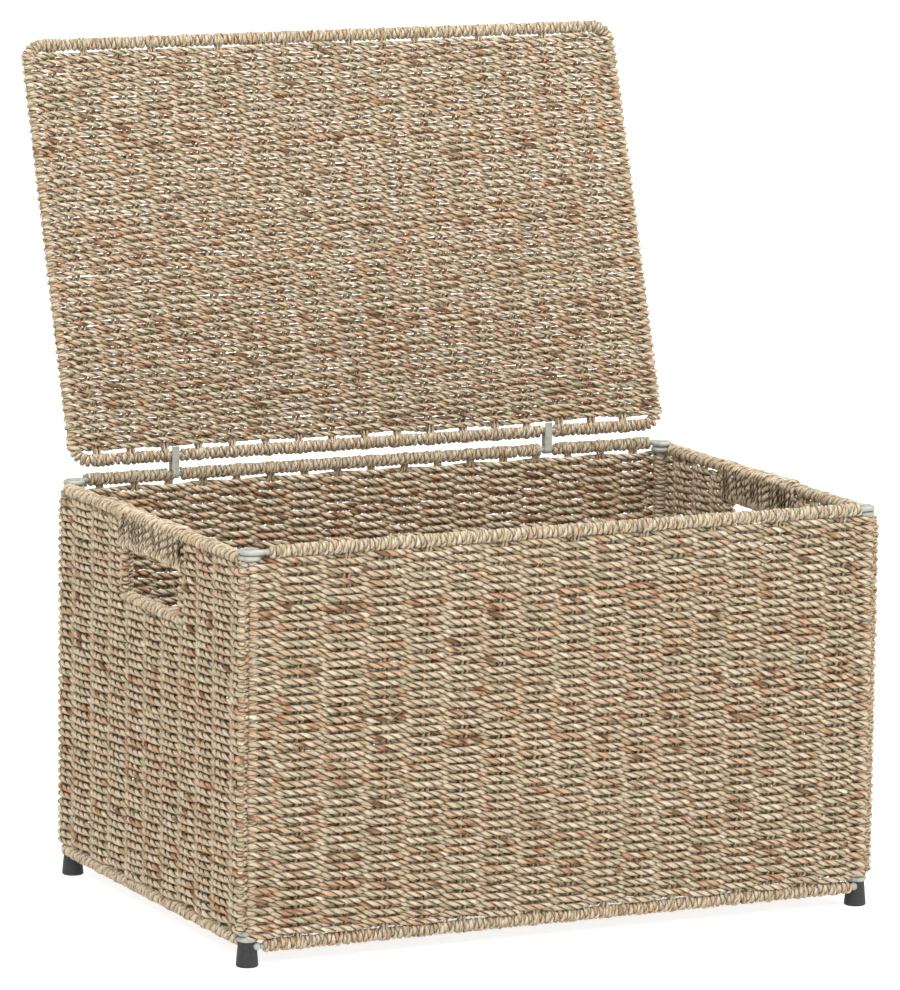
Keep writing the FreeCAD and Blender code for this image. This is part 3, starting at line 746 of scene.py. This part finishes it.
LID_PITCH = 3.90 * MM
LID_ROWS_BEHIND = 0.8 * MM
LID_ROWS_BEFORE = 1.8 * MM
LID_WIRE_RADIUS = 2.5 * MM
LID_BEND = 15 * MM
LID_SWING = LID_BEND * (1 - np.cos(np.linspace(0, math.pi / 2, 12)))
LID_DROP = LID_BEND * (1 - np.sin(np.linspace(0, math.pi / 2, 12)))


def lid_rims(panel, half, rail):
    """The cord wound on the lid's front and rear wires and round the bends at their ends."""
    for node, height, inward in (("lid_front_wrap", rail, -1), ("lid_rear_wrap", 0.0, 1)):
        ends = panel.sleeves(node)
        for index, (start, end) in enumerate(ends):
            along = np.array([start + STRAP_ROOM, end - STRAP_ROOM])
            up = np.array([height, height])
            if index == 0:
                along = np.append(-half + LID_SWING, along[-1])
                up = np.append(height + inward * LID_DROP, height)
            if index == len(ends) - 1:
                along = np.append(along[:-1], half - LID_SWING[::-1])
                up = np.append(up[:-1], height + inward * LID_DROP[::-1])
            path = evenly(panel.point(along, up, np.zeros(len(along))))
            wind(f"{node}_cord_{index + 1}", path, panel.out, RIM_TURNS, SEAGRASS_PALE, LID, [node])


def lid_cover():
    """The lid's weave, stakes and wound frame."""
    panel = LID_PANEL
    rear, front = panel.span("lid_weave", UP)
    half = panel.span("lid_frame", ALONG)[1] - LID_WIRE_RADIUS
    rail = panel.middle("lid_front_wrap", UP)
    stakes = panel.posts("lid_stakes")
    weave("lid_weave_rows", panel, [-half, *stakes, half], rear - LID_ROWS_BEHIND, front + LID_ROWS_BEFORE,
          LID_PITCH, BOTH_ENDS, LID_WEFT, SEAGRASS, LID, ["lid_weave"])
    foot, head = panel.span("lid_stakes", UP)
    stake_cords("lid_stake_cords", panel, stakes, foot, head, LID, ["lid_stakes"])
    lid_rims(panel, half, rail)
    rim_ties("lid_front_ties", panel, stakes, rail, 1, LID, ["lid_front_wrap"])
    rim_ties("lid_rear_ties", panel, stakes, 0.0, -1, LID, ["lid_rear_wrap"])
    for label, place in (("left", -half), ("right", half)):
        edge = evenly([panel.point(place, LID_BEND, 0.0), panel.point(place, rail - LID_BEND, 0.0)])
        wind(f"lid_edge_turns_{label}", edge, panel.out, EDGE_TURNS, SEAGRASS, LID, ["lid_weave"])


# ---------------------------------------------------------------- loose fibres and bare metal

STRAY_OUT = 5.2 * MM
STRAY_SAMPLES = 10


def strays(name, panel, node, count, body):
    """Thin loose fibres that stand away from a woven wall."""
    left, right = panel.span(node, ALONG)
    low, high = panel.span(node, UP)
    start_along = rng.uniform(left, right, count)[:, None]
    start_up = rng.uniform(low, high, count)[:, None]
    heading = rng.uniform(-0.9, 0.9, (count, 1))
    heading = heading + np.where(rng.uniform(size=(count, 1)) < 0.5, 0, math.pi)
    curl = rng.normal(0, 45, (count, 1))
    length = rng.uniform(8, 22, (count, 1)) * MM
    share = np.linspace(0, 1, STRAY_SAMPLES)
    angle = heading + curl * length * share
    step = length / (STRAY_SAMPLES - 1)
    along = start_along + np.cumsum(np.cos(angle) * step, axis=1)
    up = start_up + np.cumsum(np.sin(angle) * step, axis=1)
    out = STRAY_OUT + rng.uniform(1.0, 4.5, (count, 1)) * MM * share
    path = panel.point(along, up, out)
    lay(name, path, panel.out, FIBRE_CORD, SEAGRASS_PALE, body, [node], bound=True)


def finish_bare_nodes():
    """Paint and plastic for the CAD nodes that stay in view."""
    finishes = {"foot": FOOT, "strap": STRAP}
    for name, node in frame["nodes"].items():
        if node.hide_render:
            continue
        node.data.materials.clear()
        node.data.materials.append(finishes.get(name.split("_")[-1], WIRE))


long_wall("front", FRONT, SEAGRASS)
long_wall("back", BACK, SEAGRASS_BACK_PAINTED_LIGHT)
short_wall("left", LEFT)
short_wall("right", RIGHT)
base_floor()
lid_cover()
for side, wall in WALLS:
    rims(side, wall)
grips("left", LEFT)
grips("right", RIGHT)
for side, wall in WALLS:
    ties(side, wall)
    edge_turns(side, wall)
for across in SHORT_SIDES:
    for deep in LONG_SIDES:
        corner_turns(across, deep)
strays("front_strays", FRONT, "front_weave", 46, TRUNK)
strays("left_strays", LEFT, "left_weave", 34, TRUNK)
strays("lid_strays", LID_PANEL, "lid_weave", 34, LID)
finish_bare_nodes()


# ---------------------------------------------------------------- floor, light and camera

LIGHT_TARGET = (0, 0, 0.35)
TOP_TARGET = (0, 0.1, 0.4)
CAMERA_PLACE = (-2.5927, -5.3152, 1.3512)
CAMERA_ANGLES = (-26.11, 9.578, 0.726)
CAMERA_LENS = 240.8


def studio():
    """A white floor that curves up into a white backdrop."""
    width, front_edge, back_edge, tall, bend = 16.0, -9.0, 7.0, 9.0, 3.0
    arc = [(back_edge - bend + bend * math.sin(a), bend - bend * math.cos(a))
           for a in np.linspace(0, math.pi / 2, 16)]
    profile = [(front_edge, 0.0), *arc, (back_edge, tall)]
    vertices = [(x, y, z) for y, z in profile for x in (-width, width)]
    faces = [(2 * i, 2 * i + 1, 2 * i + 3, 2 * i + 2) for i in range(len(profile) - 1)]
    mesh = bpy.data.meshes.new("studio_floor")
    mesh.from_pydata(vertices, [], faces)
    mesh.shade_smooth()
    nodes = Nodes("studio_white")
    nodes.shader.inputs["Base Color"].default_value = (0.45, 0.45, 0.45, 1)
    nodes.shader.inputs["Roughness"].default_value = 0.95
    nodes.shader.inputs["Emission Color"].default_value = WHITE
    nodes.shader.inputs["Emission Strength"].default_value = 0.80
    mesh.materials.append(nodes.material)
    floor = bpy.data.objects.new("studio_floor", mesh)
    bpy.context.scene.collection.objects.link(floor)


def soft_light(name, place, target, size, power):
    """A square area light aimed at a point."""
    data = bpy.data.lights.new(name, "AREA")
    data.shape = "SQUARE"
    data.size = size
    data.energy = power
    light = bpy.data.objects.new(name, data)
    light.location = place
    light.rotation_mode = "QUATERNION"
    light.rotation_quaternion = (Vector(target) - Vector(place)).to_track_quat("-Z", "Y")
    bpy.context.scene.collection.objects.link(light)


def daylight():
    """An even white world."""
    world = bpy.data.worlds.new("studio_world")
    world.use_nodes = True
    background = world.node_tree.nodes["Background"]
    background.inputs["Color"].default_value = WHITE
    background.inputs["Strength"].default_value = 0.92
    bpy.context.scene.world = world
    bpy.context.scene.view_settings.view_transform = "Standard"


def camera():
    """A long lens that looks slightly down from the front left."""
    azimuth, elevation, roll = (math.radians(angle) for angle in CAMERA_ANGLES)
    back = Vector((math.sin(azimuth) * math.cos(elevation), -math.cos(azimuth) * math.cos(elevation),
                   math.sin(elevation)))
    right = Vector((math.cos(azimuth), math.sin(azimuth), 0))
    up = back.cross(right)
    tilted_right = math.cos(roll) * right + math.sin(roll) * up
    tilted_up = math.cos(roll) * up - math.sin(roll) * right
    data = bpy.data.cameras.new("camera")
    data.lens = CAMERA_LENS
    data.clip_end = 60
    eye = bpy.data.objects.new("camera", data)
    turned = Matrix((tilted_right, tilted_up, back)).transposed().to_4x4()
    eye.matrix_world = Matrix.Translation(CAMERA_PLACE) @ turned
    bpy.context.scene.collection.objects.link(eye)
    bpy.context.scene.camera = eye


studio()
soft_light("key", (-2.6, -3.4, 3.6), LIGHT_TARGET, 2.6, 150)
soft_light("fill", (3.2, -3.0, 2.0), LIGHT_TARGET, 3.0, 60)
soft_light("top", (0.2, -0.6, 4.0), TOP_TARGET, 3.0, 112)
daylight()
camera()
